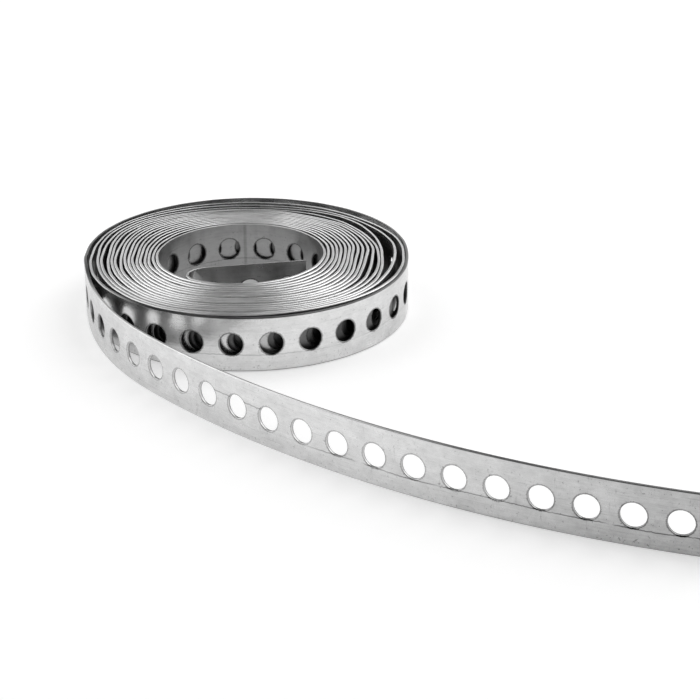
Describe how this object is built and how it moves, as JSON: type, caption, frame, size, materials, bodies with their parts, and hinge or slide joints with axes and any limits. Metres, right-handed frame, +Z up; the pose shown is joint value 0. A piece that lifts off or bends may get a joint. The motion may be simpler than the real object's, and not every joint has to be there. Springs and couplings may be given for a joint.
{
  "type": "roll of perforated metal strap",
  "caption": "Coil of flat galvanised steel strap with one row of round punched holes, lying flat, its outer end swept out in front",
  "frame": {"origin": "on the floor plane at the axis of the roll, the middle of the base mount", "axes": "+Z up along the roll's axis, +Y from the outer end in front towards the back of the roll, +X to the right, the side on which the outer end is cut"},
  "size_m": [0.2113, 0.2499, 0.02],
  "materials": {
    "strap": "galvanised cold-rolled strip, satin, slit edges"
  },
  "bodies": {
    "root": {"strap": "strap"}
  },
  "joints": []
}
